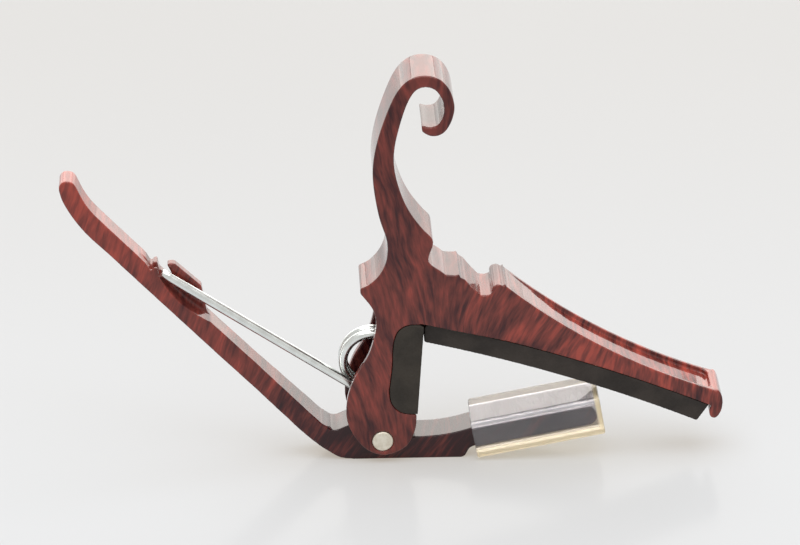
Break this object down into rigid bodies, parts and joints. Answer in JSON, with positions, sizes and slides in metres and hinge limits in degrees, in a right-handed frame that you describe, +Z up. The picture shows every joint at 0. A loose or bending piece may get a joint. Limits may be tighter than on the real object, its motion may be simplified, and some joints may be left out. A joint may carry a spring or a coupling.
{
  "type": "guitar capo",
  "caption": "Trigger guitar capo: a spring clamp with a padded bar, a hooked palm handle, a thumb lever and a clear sleeve on its lower arm.",
  "frame": {"origin": "middle of the capo's bounding box in X and Y, at the height of the surface it stands on", "axes": "+X along the bar that crosses the neck, from the thumb lever towards the bar's tip; +Y along the pivot, away from the side that is seen first; +Z up"},
  "size_m": [0.1376, 0.0126, 0.0875],
  "materials": {
    "frame_paint": "glossy rosewood-look print on a cast aluminium frame",
    "lever_paint": "glossy rosewood-look print on a cast aluminium lever",
    "rivet": "satin",
    "spring_wire": "bright zinc-plated drawn wire",
    "pad_rubber": "matt moulded rubber",
    "boot_rubber": "matt moulded rubber",
    "clear_sleeve": "clear soft vinyl"
  },
  "bodies": {
    "lever_body": {"clamp_lever": "lever_paint", "arm_sleeve": "clear_sleeve"},
    "frame_body": {"jaw_frame": "frame_paint", "pivot_pin": "rivet", "string_pad": "pad_rubber", "side_pad": "boot_rubber", "spring_coil": "spring_wire"},
    "leg_body": {"spring_leg": "spring_wire"}
  },
  "joints": [
    {"name": "jaw_pivot", "type": "hinge", "parent": "lever_body", "child": "frame_body", "pos_m": [-0.00265, 0, 0.0051], "axis": [0, -1, 0], "range_deg": [0, 30], "stiffness_Nm_per_rad": 2, "springref_deg": -34.38},
    {"name": "spring_twist", "type": "hinge", "parent": "frame_body", "child": "leg_body", "pos_m": [-0.00435, 0, 0.0212], "axis": [0, 1, 0], "range_deg": [0, 41]}
  ],
  "couplings": [
    {"joint": "spring_twist", "follows": "jaw_pivot", "ratio": 1.35}
  ]
}
